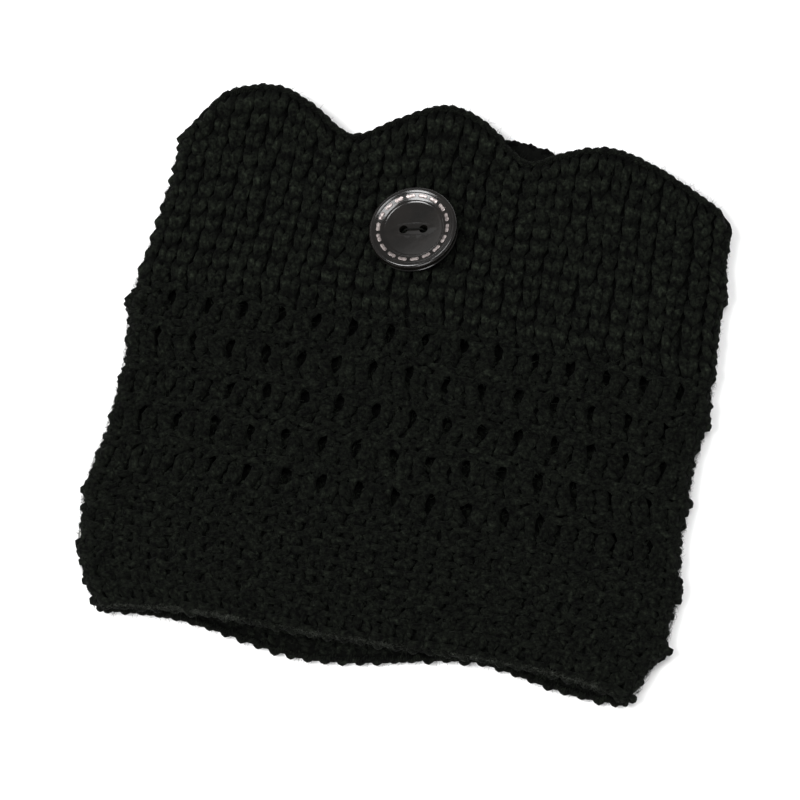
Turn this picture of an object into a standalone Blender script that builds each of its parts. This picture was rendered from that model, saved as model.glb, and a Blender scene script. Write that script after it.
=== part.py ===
"""A short knitted leg warmer laid flat: a tube with a scalloped top edge, an eyelet band and a button.

The knitted tube lies pressed flat, so it is built as two panels that meet along the two side folds.
X runs across the garment, Y from the hem up to the scalloped edge, and Z up from the surface it lies on.
The tables give the garment in millimetres, from the middle of the front hem. Everything else is metres.
"""

import math
from collections import namedtuple

import bmesh
import bpy
from mathutils import Matrix, Vector
from mathutils.bvhtree import BVHTree

MM = 0.001

# The cloth: two thick knitted layers that all but touch, with a round fold at each side.
WALL = 4.0
INNER_GAP = 1.0
SEAM_GAP = 0.3
THICKNESS = 2 * WALL + INNER_GAP
FOLD_RADIUS = (THICKNESS - SEAM_GAP) / 2

# Rows of cells up the garment, in its three bands, and columns of cells across it.
HEM_ROWS = 4
LACE_ROWS = 5
TOP_ROWS = 4
FACE_COLUMNS = 15
FOLD_COLUMNS = 3
FOLD_ANGLE = 90.0
NOMINAL_HALF_WIDTH = 80.0

# The eyelet band: one eyelet to a cell, each row stepped sideways from the next. The rows climb a little,
# and the front's rows arch up in the middle, the upper ones more. The back layer's rows sag instead and step
# the other way, so no eyelet lies over another.
LACE_START = 35.9
EYELET_ROW_PITCH = 11.36
FRONT_ARCH = 1.5
FRONT_ARCH_GROWTH = 0.2
BACK_SAG = 2.6
EYELET_WIDTH = 3.0
EYELET_HEIGHT = 5.6
EYELET_STEP = 1.3
EYELET_DRAW_IN = 0.9
ROW_CLIMB = 0.01
FIRST_INSET = 0.3

# The top band's ribs: a pair of stitches to a cell, with a groove between pairs on the front's outer skin.
RIB_CUTS = 3
PLAIN_CUTS = 1
RIB_DEPTH = 1.2
GROOVE_PLACE = 0.37

# The outline on each side of the middle line, by height.
Side = namedtuple("Side", "height left right")
SIDES = (
    Side(-5.0, 72.5, 74.0),
    Side(0.0, 75.6, 75.8),
    Side(8.0, 80.2, 78.6),
    Side(14.0, 82.4, 81.6),
    Side(31.0, 84.2, 83.0),
    Side(44.0, 82.2, 81.4),
    Side(68.0, 81.4, 80.9),
    Side(86.0, 83.6, 82.5),
    Side(98.0, 82.3, 81.6),
    Side(116.0, 80.4, 80.4),
    Side(140.0, 79.2, 78.6),
)

# The edges, by place across: how far each lies up the garment.
Edge = namedtuple("Edge", "across height")
FRONT_TOP = (
    Edge(-80.0, 136.0),
    Edge(-76.0, 143.0),
    Edge(-71.0, 150.2),
    Edge(-64.0, 153.8),
    Edge(-55.0, 155.2),
    Edge(-45.0, 151.8),
    Edge(-32.0, 145.2),
    Edge(-20.0, 152.2),
    Edge(-7.0, 158.8),
    Edge(5.0, 156.2),
    Edge(19.0, 147.0),
    Edge(30.0, 151.8),
    Edge(42.0, 155.2),
    Edge(56.0, 152.4),
    Edge(68.0, 147.4),
    Edge(76.0, 143.4),
    Edge(80.0, 139.0),
)
BACK_TOP = (
    Edge(-80.0, 136.0),
    Edge(-68.0, 147.5),
    Edge(-51.0, 151.0),
    Edge(-21.0, 144.0),
    Edge(0.0, 151.5),
    Edge(12.0, 153.8),
    Edge(25.0, 152.6),
    Edge(44.0, 147.0),
    Edge(62.0, 148.0),
    Edge(75.0, 143.6),
    Edge(80.0, 139.0),
)
FRONT_HEM = (
    Edge(-80.0, -3.0),
    Edge(-52.0, -0.6),
    Edge(-20.0, -0.6),
    Edge(10.0, 1.0),
    Edge(34.0, 2.6),
    Edge(60.0, 2.0),
    Edge(80.0, -0.5),
)
BACK_HEM = (
    Edge(-80.0, -3.0),
    Edge(-54.0, -1.2),
    Edge(-22.0, -5.4),
    Edge(-4.0, -4.2),
    Edge(18.0, 0.4),
    Edge(35.0, 3.0),
    Edge(60.0, -0.6),
    Edge(80.0, -1.2),
)

# Soft swells that lift the front off the back, each a round hill of its own width. They die out before
# a fold, over a share of the half width.
FOLD_FADE = 0.2
Swell = namedtuple("Swell", "across height rise spread_across spread_up")
SWELLS = (
    Swell(-24.0, -6.0, 6.0, 34.0, 28.0),
    Swell(58.0, -6.0, 2.2, 14.0, 12.0),
    Swell(3.0, 114.0, 4.0, 16.0, 18.0),
    Swell(-56.0, 156.0, 1.2, 15.0, 14.0),
    Swell(-7.0, 160.0, 1.0, 15.0, 14.0),
    Swell(42.0, 157.0, 1.2, 17.0, 14.0),
)

# The button, a turned disc that leans to the left on the swell under it.
BUTTON_ACROSS = -8.4
BUTTON_HEIGHT = 118.5
BUTTON_LEAN = 14.5
BUTTON_LEAN_TOWARDS = 158.0
BUTTON_SEAT_GAP = 0.3
BUTTON_STEPS = 40
BUTTON_HOLE_WIDTH = 2.5
BUTTON_HOLE_SPACING = 5.7
BUTTON_HOLES_TURN = 8.0
EYE_LENGTH = 9.6
EYE_WIDTH = 3.6
EYE_DEPTH = 0.4
HOLE_STEPS = 16
EYE_RINGS = 8
HOLE_CUT_LENGTH = 12.0
DROP_FROM = 40.0
JOIN_DISTANCE = 0.01

# The button's turned outline, from the middle of its underside round to the middle of its dish.
Turn = namedtuple("Turn", "radius height")
BUTTON_OUTLINE = (
    Turn(0.0, 0.0),
    Turn(11.4, 0.0),
    Turn(12.4, 0.9),
    Turn(12.7, 2.0),
    Turn(12.5, 2.8),
    Turn(12.0, 3.2),
    Turn(11.3, 3.1),
    Turn(10.4, 2.85),
    Turn(9.2, 2.5),
    Turn(8.6, 2.15),
    Turn(7.6, 1.95),
    Turn(4.6, 1.8),
    Turn(0.0, 1.7),
)

YARN_BLACK = (0.011, 0.012, 0.0105, 1.0)
BUTTON_BLACK = (0.018, 0.016, 0.016, 1.0)
WOOL_ROUGHNESS = 0.95
BUTTON_ROUGHNESS = 0.2
SHARP_ANGLE = 35.0


def clear_scene():
    for old in list(bpy.data.objects):
        bpy.data.objects.remove(old, do_unlink=True)


def finish(name, colour, roughness):
    material = bpy.data.materials.new(name)
    material.use_nodes = True
    shader = material.node_tree.nodes["Principled BSDF"]
    shader.inputs["Base Color"].default_value = colour
    shader.inputs["Roughness"].default_value = roughness
    shader.inputs["Metallic"].default_value = 0.0
    return material


def read_curve(rows, column, place):
    """A smooth line through a table: the first column is the place, and column is what is read there."""
    places = [row[0] for row in rows]
    values = [getattr(row, column) for row in rows]
    place = min(max(place, places[0]), places[-1])
    last = len(rows) - 1
    span = max(k for k in range(last) if places[k] <= place)

    def slope(k):
        low, high = max(k - 1, 0), min(k + 1, last)
        return (values[high] - values[low]) / (places[high] - places[low])

    length = places[span + 1] - places[span]
    part = (place - places[span]) / length
    rise = values[span + 1] - values[span]
    ease = part * part * (3 - 2 * part)
    start_pull = part * (1 - part) ** 2 * slope(span) * length
    end_pull = part * part * (part - 1) * slope(span + 1) * length
    return values[span] + ease * rise + start_pull + end_pull


def height_up(row, across, front):
    """How far up the garment a line of the grid lies: the bands' own rows, between the hem and the top."""
    hem, top = (FRONT_HEM, FRONT_TOP) if front else (BACK_HEM, BACK_TOP)
    half_share = across / NOMINAL_HALF_WIDTH
    lace_start = LACE_START + ROW_CLIMB * across
    pitch = EYELET_ROW_PITCH
    if front:
        lace_start += FRONT_ARCH * (1 - half_share ** 2)
        pitch += FRONT_ARCH_GROWTH * (1 - half_share ** 2)
    else:
        lace_start -= BACK_SAG * (1 - half_share ** 4)
    lace_end = lace_start + LACE_ROWS * pitch
    if row <= HEM_ROWS:
        start = read_curve(hem, "height", across)
        return start + (lace_start - start) * row / HEM_ROWS
    if row <= HEM_ROWS + LACE_ROWS:
        return lace_start + (row - HEM_ROWS) * pitch
    end = read_curve(top, "height", across)
    return lace_end + (end - lace_end) * (row - HEM_ROWS - LACE_ROWS) / TOP_ROWS


def swell(across, up, face_place):
    """How far the front layer stands off the back one here. It fades out before the side folds."""
    rise = 0.0
    for hill in SWELLS:
        far_across = (across - hill.across) / hill.spread_across
        far_up = (up - hill.height) / hill.spread_up
        rise += hill.rise * math.exp(-far_across ** 2 - far_up ** 2)
    return rise * min(1.0, (1 - abs(face_place)) / FOLD_FADE)


def rib_groove(column, row):
    """How deep the groove between two ribs is here. Ribs grow over the top band's first row of cells."""
    grown = min(max(row - HEM_ROWS - LACE_ROWS, 0.0), 1.0)
    if not FOLD_COLUMNS <= column <= FOLD_COLUMNS + FACE_COLUMNS:
        return 0.0
    return RIB_DEPTH * grown * (1 + math.cos(math.tau * (column - GROOVE_PLACE))) / 2


def fold_place(column):
    """Where a column lies: from -1 to 1 across the face, and its angle round a side fold, 0 on the face."""
    if column < FOLD_COLUMNS:
        return -1.0, FOLD_ANGLE * (FOLD_COLUMNS - column) / FOLD_COLUMNS
    if column > FOLD_COLUMNS + FACE_COLUMNS:
        return 1.0, FOLD_ANGLE * (column - FOLD_COLUMNS - FACE_COLUMNS) / FOLD_COLUMNS
    return 2 * (column - FOLD_COLUMNS) / FACE_COLUMNS - 1, 0.0


def place_on_panel(column, row, inside, front):
    """A point of a panel's outer or inner skin, from its place in the grid of cells."""
    face_place, fold_angle = fold_place(column)
    angle = math.radians(fold_angle)
    nominal = face_place * (NOMINAL_HALF_WIDTH - FOLD_RADIUS + FOLD_RADIUS * math.sin(angle))
    up = height_up(row, nominal, front)
    left = -read_curve(SIDES, "left", up) + FOLD_RADIUS
    right = read_curve(SIDES, "right", up) - FOLD_RADIUS
    across = left + (right - left) * (face_place + 1) / 2
    radius = FOLD_RADIUS - WALL if inside else FOLD_RADIUS
    out = math.copysign(radius * math.sin(angle), face_place)
    rise = radius * math.cos(angle)
    if front:
        high = FOLD_RADIUS + SEAM_GAP + rise + swell(across, up, face_place)
        if not inside:
            high -= rib_groove(column, row)
    else:
        high = FOLD_RADIUS - rise
    return Vector((across + out, up, high)) * MM


def open_eyelet(sheet, cell, sideways):
    """Cuts one eyelet: a face is set in, its edges are split, and its points go on an upright oval."""
    middle = cell.calc_center_bounds()
    sideways -= EYELET_DRAW_IN * (2 * (middle.x - FOLD_COLUMNS) / FACE_COLUMNS - 1)
    bmesh.ops.inset_individual(sheet, faces=[cell], thickness=FIRST_INSET)
    for edge in list(cell.edges):
        bmesh.utils.edge_split(edge, edge.verts[0], 0.5)
    column_pitch = 2 * (NOMINAL_HALF_WIDTH - FOLD_RADIUS) / FACE_COLUMNS
    for point in cell.verts:
        angle = math.atan2(point.co.y - middle.y, point.co.x - middle.x)
        point.co.x = middle.x + (sideways + math.cos(angle) * EYELET_WIDTH / 2) / column_pitch
        point.co.y = middle.y + math.sin(angle) * EYELET_HEIGHT / 2 / EYELET_ROW_PITCH


def make_grid(top_cuts, step):
    """A flat sheet of cells, one unit each way, with the eyelets open and the top band in finer cells."""
    columns = FACE_COLUMNS + 2 * FOLD_COLUMNS
    rows = HEM_ROWS + LACE_ROWS + TOP_ROWS
    sheet = bmesh.new()
    bmesh.ops.create_grid(sheet, x_segments=columns, y_segments=rows, size=0.5)
    to_cells = Matrix.Diagonal((columns, rows, 1, 1)) @ Matrix.Translation((0.5, 0.5, 0))
    bmesh.ops.transform(sheet, matrix=to_cells, verts=sheet.verts)

    lace = []
    top_edges = set()
    for cell in sheet.faces:
        middle = cell.calc_center_bounds()
        on_face = FOLD_COLUMNS < middle.x < FOLD_COLUMNS + FACE_COLUMNS
        if on_face and HEM_ROWS < middle.y < HEM_ROWS + LACE_ROWS:
            lace.append(cell)
        if on_face and middle.y > HEM_ROWS + LACE_ROWS:
            top_edges.update(cell.edges)
    bmesh.ops.subdivide_edges(sheet, edges=list(top_edges), cuts=top_cuts, use_grid_fill=True)

    for cell in lace:
        lace_row = int(cell.calc_center_bounds().y) - HEM_ROWS
        open_eyelet(sheet, cell, step if lace_row % 2 == 0 else -step)
    bmesh.ops.delete(sheet, geom=lace, context="FACES")
    return sheet


def make_panel(name, front):
    """One knitted layer: the sheet of cells is doubled into a wall, then every point goes to its place."""
    sheet = make_grid(RIB_CUTS, EYELET_STEP) if front else make_grid(PLAIN_CUTS, -EYELET_STEP)
    doubled = bmesh.ops.extrude_face_region(sheet, geom=sheet.faces[:])
    inner = {item for item in doubled["geom"] if isinstance(item, bmesh.types.BMVert)}
    for point in sheet.verts:
        point.co = place_on_panel(point.co.x, point.co.y, point in inner, front)
    bmesh.ops.recalc_face_normals(sheet, faces=sheet.faces)
    return to_object(sheet, name, finish(name + "_wool", YARN_BLACK, WOOL_ROUGHNESS))


def to_object(model, name, material):
    mesh = bpy.data.meshes.new(name)
    model.to_mesh(mesh)
    model.free()
    mesh.materials.append(material)
    mesh.shade_smooth()
    mesh.set_sharp_from_angle(angle=math.radians(SHARP_ANGLE))
    built = bpy.data.objects.new(name, mesh)
    bpy.context.scene.collection.objects.link(built)
    return built


def cut_away(built, cutter):
    """Takes a cutter's shape out of an object, for good, and removes the cutter."""
    cut = built.modifiers.new("cut", "BOOLEAN")
    cut.solver = "EXACT"
    cut.object = cutter
    graph = bpy.context.evaluated_depsgraph_get()
    carved = bpy.data.meshes.new_from_object(built.evaluated_get(graph))
    built.modifiers.clear()
    built.data = carved
    bpy.data.objects.remove(cutter, do_unlink=True)


def turned_disc():
    """The button's outline, turned once round its middle."""
    model = bmesh.new()
    points = [model.verts.new((turn.radius * MM, 0, turn.height * MM)) for turn in BUTTON_OUTLINE]
    edges = [model.edges.new(pair) for pair in zip(points, points[1:])]
    bmesh.ops.spin(
        model, geom=points + edges, axis=(0, 0, 1), cent=(0, 0, 0),
        angle=math.tau, steps=BUTTON_STEPS, use_merge=True,
    )
    bmesh.ops.remove_doubles(model, verts=model.verts, dist=JOIN_DISTANCE * MM)
    bmesh.ops.recalc_face_normals(model, faces=model.faces)
    return model


def eye_cutter(name, dish_height):
    """A long flat egg, which leaves the almond hollow between the button's holes."""
    model = bmesh.new()
    size = Matrix.Diagonal((EYE_LENGTH / 2 * MM, EYE_WIDTH / 2 * MM, EYE_DEPTH * MM, 1))
    place = Matrix.Translation((0, 0, dish_height * MM))
    bmesh.ops.create_uvsphere(
        model, u_segments=HOLE_STEPS, v_segments=EYE_RINGS, radius=1, matrix=place @ size
    )
    return to_object(model, name, None)


def hole_cutter(name, across):
    model = bmesh.new()
    bmesh.ops.create_cone(
        model, cap_ends=True, segments=HOLE_STEPS, depth=HOLE_CUT_LENGTH * MM,
        radius1=BUTTON_HOLE_WIDTH / 2 * MM, radius2=BUTTON_HOLE_WIDTH / 2 * MM,
        matrix=Matrix.Translation((across * MM, 0, 0)),
    )
    return to_object(model, name, None)


def make_button(panel):
    """The two-hole button: turned, hollowed, drilled, leant over and set down just clear of the cloth."""
    button = to_object(turned_disc(), "button", finish("button_resin", BUTTON_BLACK, BUTTON_ROUGHNESS))
    dish_height = BUTTON_OUTLINE[-1].height
    cut_away(button, eye_cutter("eye", dish_height))
    for side in (-1, 1):
        cut_away(button, hole_cutter("hole", side * BUTTON_HOLE_SPACING / 2))

    towards = math.radians(BUTTON_LEAN_TOWARDS)
    hinge = Vector((-math.sin(towards), math.cos(towards), 0))
    lean = Matrix.Rotation(math.radians(BUTTON_LEAN), 4, hinge)
    turn = Matrix.Rotation(math.radians(BUTTON_HOLES_TURN), 4, "Z")
    start = Matrix.Translation(Vector((BUTTON_ACROSS, BUTTON_HEIGHT, DROP_FROM)) * MM)
    button.data.transform(start @ lean @ turn)

    knitting = BVHTree.FromPolygons(
        [point.co for point in panel.data.vertices], [face.vertices for face in panel.data.polygons]
    )
    drops = [knitting.ray_cast(point.co, Vector((0, 0, -1)))[3] for point in button.data.vertices]
    drop = min(drops) - BUTTON_SEAT_GAP * MM
    button.data.transform(Matrix.Translation((0, 0, -drop)))
    return button


def centre_on_origin(pieces):
    """Moves everything so that the middle of the whole outline is over the origin, on the surface."""
    points = [point.co for piece in pieces for point in piece.data.vertices]
    low = Vector([min(point[axis] for point in points) for axis in range(3)])
    high = Vector([max(point[axis] for point in points) for axis in range(3)])
    shift = Vector((-(low.x + high.x) / 2, -(low.y + high.y) / 2, -low.z))
    for piece in pieces:
        piece.data.transform(Matrix.Translation(shift))


def main():
    clear_scene()
    back = make_panel("back_panel", front=False)
    front = make_panel("front_panel", front=True)
    button = make_button(front)
    centre_on_origin([back, front, button])


main()
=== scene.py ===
# %% [markdown]
# # A knitted leg warmer, laid flat
#
# The real thing is a short tube of black yarn, knitted in the round: a ridged hem band, a band of eyelets
# and a plain band that ends in scallops. One dished button is sewn on near the top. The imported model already
# gives the shape of the two layers and of the button. This lesson dresses it: every stitch becomes a real
# loop of yarn, and nothing is moved from where the frame has it.

import math
from collections import namedtuple

import bmesh
import bpy
import numpy as np
from mathutils import Matrix, Vector
from mathutils.bvhtree import BVHTree


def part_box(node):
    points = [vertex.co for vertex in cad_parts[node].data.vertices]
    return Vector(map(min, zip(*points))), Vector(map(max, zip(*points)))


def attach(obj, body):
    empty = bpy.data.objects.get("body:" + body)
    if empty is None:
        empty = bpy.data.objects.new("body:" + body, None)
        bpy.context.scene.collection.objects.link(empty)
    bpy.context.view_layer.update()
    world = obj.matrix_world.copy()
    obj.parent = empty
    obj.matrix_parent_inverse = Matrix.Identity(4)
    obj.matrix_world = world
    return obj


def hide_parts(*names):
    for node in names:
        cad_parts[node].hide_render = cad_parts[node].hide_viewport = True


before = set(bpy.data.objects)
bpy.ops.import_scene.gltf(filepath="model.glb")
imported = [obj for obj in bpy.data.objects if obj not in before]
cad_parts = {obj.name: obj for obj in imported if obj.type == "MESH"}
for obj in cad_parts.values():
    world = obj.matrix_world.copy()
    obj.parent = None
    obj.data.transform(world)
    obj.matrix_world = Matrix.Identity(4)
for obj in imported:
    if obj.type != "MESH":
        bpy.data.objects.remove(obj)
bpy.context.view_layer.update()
MM = 0.001

# %% [markdown]
# ## Reading the two layers
#
# A pressed tube is two layers joined by a fold at each side. The stitches have to follow those layers, so the
# script asks the frame where they are instead of repeating its tables. Rays shot at a layer from the side
# find its outline, rays shot along it find the hem and the scalloped edge, and rays shot out from between
# the layers find how far the cloth swells. A ray is the right tool because it answers one plain question.

# %% A layer's outline
SIDE_SAMPLES = 81
FAR = 0.3
NEAR_SEAM = 0.2 * MM

back_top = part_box("back_panel")[1].z
front_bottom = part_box("front_panel")[0].z
SEAM_HEIGHT = (back_top + front_bottom) / 2
FOLD_RADIUS = back_top
print("folds: radius", round(FOLD_RADIUS / MM, 2), "mm at height", round(SEAM_HEIGHT / MM, 2), "mm")


def tree_of(name):
    """A node of the frame in the form that rays can be shot at."""
    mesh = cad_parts[name].data
    return BVHTree.FromPolygons([v.co for v in mesh.vertices], [p.vertices for p in mesh.polygons])


def read_side(tree, low, high, level, side):
    """The outline on the left (side -1) or the right (side 1), by how far up the garment it is."""
    found = []
    for up in np.linspace(low.y, high.y, SIDE_SAMPLES):
        hit = tree.ray_cast(Vector((side * FAR, up, level)), Vector((-side, 0, 0)))[0]
        if hit and hit.x * side > 0:
            found.append((up, hit.x))
    return np.array(found).T


# %% How far a layer swells
SWELL_STEP = 4 * MM
SWELL_REACH = 84 * MM
LEAST_INNER = 0.4 * MM
SHORT_OF_LAST = 0.001
SWELL_PLACES = np.arange(-SWELL_REACH, SWELL_REACH + SWELL_STEP / 2, SWELL_STEP)
print("the swell is read at", len(SWELL_PLACES) ** 2, "places")


def fill_gaps(grid):
    """Gives each empty place the mean of its neighbours, until none is empty."""
    while np.isnan(grid).any():
        padded = np.pad(grid, 1, constant_values=np.nan)
        around = np.stack([padded[:-2, 1:-1], padded[2:, 1:-1], padded[1:-1, :-2], padded[1:-1, 2:]])
        known = ~np.isnan(around)
        total = np.where(known, around, 0).sum(0)
        mean = np.where(known.any(0), total / np.maximum(known.sum(0), 1), np.nan)
        grid = np.where(np.isnan(grid), mean, grid)
    return grid


def read_swell(tree, way):
    """How far the layer's inner skin stands off its lowest place, on a grid over the whole garment."""
    grid = np.full((len(SWELL_PLACES), len(SWELL_PLACES)), np.nan)
    for i, x in enumerate(SWELL_PLACES):
        for j, y in enumerate(SWELL_PLACES):
            hit = tree.ray_cast(Vector((x, y, SEAM_HEIGHT)), Vector((0, 0, way)))[0]
            if hit and abs(hit.z - SEAM_HEIGHT) > LEAST_INNER:
                grid[i, j] = abs(hit.z - SEAM_HEIGHT)
    grid = fill_gaps(grid)
    return grid - grid.min()


def read_grid(grid, x, y):
    """Reads a grid between its places, evenly in both directions."""
    last = len(grid) - 1 - SHORT_OF_LAST
    gx = np.clip((x + SWELL_REACH) / SWELL_STEP, 0, last)
    gy = np.clip((y + SWELL_REACH) / SWELL_STEP, 0, last)
    i, j = gx.astype(int), gy.astype(int)
    fx, fy = gx - i, gy - j
    near = grid[i, j] * (1 - fx) + grid[i + 1, j] * fx
    beyond = grid[i, j + 1] * (1 - fx) + grid[i + 1, j + 1] * fx
    return near * (1 - fy) + beyond * fy


# %% [markdown]
# ## Finding the eyelets
#
# The eyelets go right through each layer of the frame, so their walls are the only small rings of upright
# faces in it. Walking from face to face over shared edges gathers each ring, and the middle of the ring is
# the middle of the eyelet. Reading them from the frame keeps yarn and holes together if the frame changes.

# %% The eyelets of a layer
EYELET_COLUMNS = 15
EYELET_ROWS = 5
TALLEST_EYELET = 8 * MM
FEWEST_FACES = 8
UPRIGHT = 0.05
SAME_CORNER = 0.001 * MM


def read_eyelets(name):
    """The middle of each eyelet, as an array of columns by rows by (across, up)."""
    model = bmesh.new()
    model.from_mesh(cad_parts[name].data)
    bmesh.ops.remove_doubles(model, verts=model.verts, dist=SAME_CORNER)
    upright = {face for face in model.faces if abs(face.normal.z) < UPRIGHT}
    middles = []
    while upright:
        ring = [upright.pop()]
        for face in ring:
            for edge in face.edges:
                for other in upright.intersection(edge.link_faces):
                    upright.remove(other)
                    ring.append(other)
        points = np.array([corner.co for face in ring for corner in face.verts])
        low, high = points.min(0), points.max(0)
        if len(ring) >= FEWEST_FACES and max((high - low)[:2]) < TALLEST_EYELET:
            middles.append(tuple((low + high)[:2] / 2))
    model.free()
    middles.sort()
    columns = [middles[k:k + EYELET_ROWS] for k in range(0, len(middles), EYELET_ROWS)]
    return np.array([sorted(column, key=lambda place: place[1]) for column in columns])


# %% [markdown]
# ## A map of the tube
#
# Every stitch has an address: how many stitches it is from the left fold, and how many courses up from the
# hem. The map turns an address into a place in the frame. Across the face the cloth is nearly flat. At a
# fold it turns a quarter round on each layer, so a course of yarn runs on from the front to the back.
# `out` is how far a point stands off the middle of the cloth, away from the inside of the tube.

# %% The map
HEM_COURSES = 14
REPEAT_COURSES = 4
LACE_COURSES = EYELET_ROWS * REPEAT_COURSES
TOP_COURSES = 11
LACE_TOP = HEM_COURSES + LACE_COURSES
ALL_COURSES = LACE_TOP + TOP_COURSES
MIDDLE_COLUMN = EYELET_COLUMNS / 2
FOLD_COLUMNS = 0.5
LAST_COLUMN = EYELET_COLUMNS + FOLD_COLUMNS
CLOTH_MIDDLE = 2.2 * MM
EDGE_ROOM = 2.7 * MM
ACROSS = np.linspace(-FOLD_COLUMNS, LAST_COLUMN, 129)
Layer = namedtuple("Layer", "name way sides swell slope_x slope_y eyelets lines")
print("the map:", EYELET_COLUMNS, "columns of eyelets and", ALL_COURSES, "courses of yarn")


def from_fold(across):
    """How many columns a place is from the nearer fold."""
    return np.minimum(across + FOLD_COLUMNS, LAST_COLUMN - across)


def face_ends(sides, up):
    """Where the flat face of the cloth starts and ends, between the two folds."""
    left, right = sides
    return np.interp(up, *left) + FOLD_RADIUS, np.interp(up, *right) - FOLD_RADIUS


def place(layer, across, up, out):
    """The place of a point: across in eyelet columns, up and out in metres."""
    across, up, out = np.broadcast_arrays(across, up, out)
    face = np.clip(across, 0, EYELET_COLUMNS)
    angle = np.abs(across - face) / FOLD_COLUMNS * math.pi / 2
    side = np.where(across > MIDDLE_COLUMN, 1.0, -1.0)
    left, right = face_ends(layer.sides, up)
    x = left + (right - left) * face / EYELET_COLUMNS
    radius = CLOTH_MIDDLE + out
    lean_x = read_grid(layer.slope_x, x, up)
    lean_y = read_grid(layer.slope_y, x, up)
    z = SEAM_HEIGHT + layer.way * (radius * np.cos(angle) + read_grid(layer.swell, x, up))
    return np.stack([x + side * radius * np.sin(angle) - out * lean_x, up - out * lean_y, z], axis=-1)


# %% Reading the edges of a layer
LEVEL_START = 0.6 * MM
LEVEL_STEP = 0.8 * MM
EDGE_ROUNDS = 4


def read_edge(tree, sides, levels, way):
    """How far up the hem (way 1) or the top edge (way -1) lies, for each place in ACROSS."""
    edge = np.full(len(ACROSS), sides[0][0][0 if way > 0 else -1])
    for _ in range(EDGE_ROUNDS):
        face = np.clip(ACROSS, 0, EYELET_COLUMNS)
        turned = np.sin(np.abs(ACROSS - face) / FOLD_COLUMNS * math.pi / 2)
        left, right = face_ends(sides, edge)
        side = np.where(ACROSS > MIDDLE_COLUMN, 1.0, -1.0)
        xs = left + (right - left) * face / EYELET_COLUMNS + side * CLOTH_MIDDLE * turned
        for k, x in enumerate(xs):
            hits = [tree.ray_cast(Vector((x, -way * FAR, z)), Vector((0, way, 0)))[0] for z in levels]
            reached = [hit.y for hit in hits if hit]
            edge[k] = min(reached) if way > 0 else max(reached)
    return edge


def read_layer(name, way):
    """Everything the map needs to know of one layer."""
    tree = tree_of(name)
    low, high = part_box(name)
    level = SEAM_HEIGHT + way * NEAR_SEAM
    sides = [read_side(tree, low, high, level, side) for side in (-1, 1)]
    swell = read_swell(tree, way)
    slope_x, slope_y = np.gradient(swell, SWELL_STEP)
    levels = np.arange(low.z + LEVEL_START, high.z, LEVEL_STEP)
    hem = read_edge(tree, sides, levels, 1)
    top = read_edge(tree, sides, levels, -1)
    eyelets = read_eyelets(name)
    columns = np.arange(EYELET_COLUMNS) + 0.5
    first, last = eyelets[:, 0, 1], eyelets[:, -1, 1]
    pitch = (last - first) / (EYELET_ROWS - 1)
    lines = {"hem": hem, "top": top}
    for line, row in (("lace_low", first - pitch / 2), ("lace_high", last + pitch / 2)):
        ends = [row[0] - (row[1] - row[0]), row[-1] + (row[-1] - row[-2])]
        spread = [-FOLD_COLUMNS, *columns, LAST_COLUMN]
        lines[line] = np.interp(ACROSS, spread, [ends[0], *row, ends[1]])
    print(name, "eyelets", eyelets.shape[:2], "row pitch", (pitch.mean() / MM).round(2), "mm")
    return Layer(name, way, sides, swell, slope_x, slope_y, eyelets, lines)


front = read_layer("front_panel", 1)
back = read_layer("back_panel", -1)

# The layers share their two folds, so every line starts and ends at the same height on both.
for line in front.lines:
    for end in (0, -1):
        shared = (front.lines[line][end] + back.lines[line][end]) / 2
        for layer in (front, back):
            fade = np.clip(1 - np.abs(ACROSS - ACROSS[end]), 0, 1)
            layer.lines[line][:] += (shared - layer.lines[line][end]) * fade

# %% The height of a course
SCALLOP_EASE = 2.5
LINES = ("hem", "lace_low", "lace_high", "top")


def course_height(layer, across, course):
    """How far up a course lies. The top band's last courses bend to follow the scallops."""
    hem, low, high, top = (np.interp(across, ACROSS, layer.lines[line]) for line in LINES)
    hem = hem + EDGE_ROOM
    top = top - EDGE_ROOM
    level = layer.lines["top"].mean() - EDGE_ROOM
    part = (course - LACE_TOP) / TOP_COURSES
    in_hem = hem + (low - hem) * course / HEM_COURSES
    in_lace = low + (high - low) * (course - HEM_COURSES) / LACE_COURSES
    in_top = high + (level - high) * part + (top - level) * np.clip(part, 0, 1) ** SCALLOP_EASE
    return np.where(course < HEM_COURSES, in_hem, np.where(course < LACE_TOP, in_lace, in_top))


bands = course_height(front, MIDDLE_COLUMN, np.array([0, HEM_COURSES, LACE_TOP, ALL_COURSES]))
print("edges of the bands in the middle of the front:", (bands / MM).round(1), "mm")

# %% [markdown]
# ## How a stitch is made
#
# A knitted stitch is a loop: the yarn comes from its foot, climbs through the loop below, makes its head and
# comes down again. A knit stitch is pulled through towards the outside, and a purl stitch towards the
# inside. So each half of a loop has four depths: its foot, where it passes the head of the loop below, where
# it passes the feet of the loop above, and its head. Plain courses give the smooth top band. Knit and purl
# courses in turn give the ridged hem, and two purl courses between rows of eyelets give the lace its ridges.
# One spline for each course is the truthful way: the yarn of a course never ends before its fold. No hand
# knits evenly, so every loop wanders a little, and here and there a thick place stands out at a fold.

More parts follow.
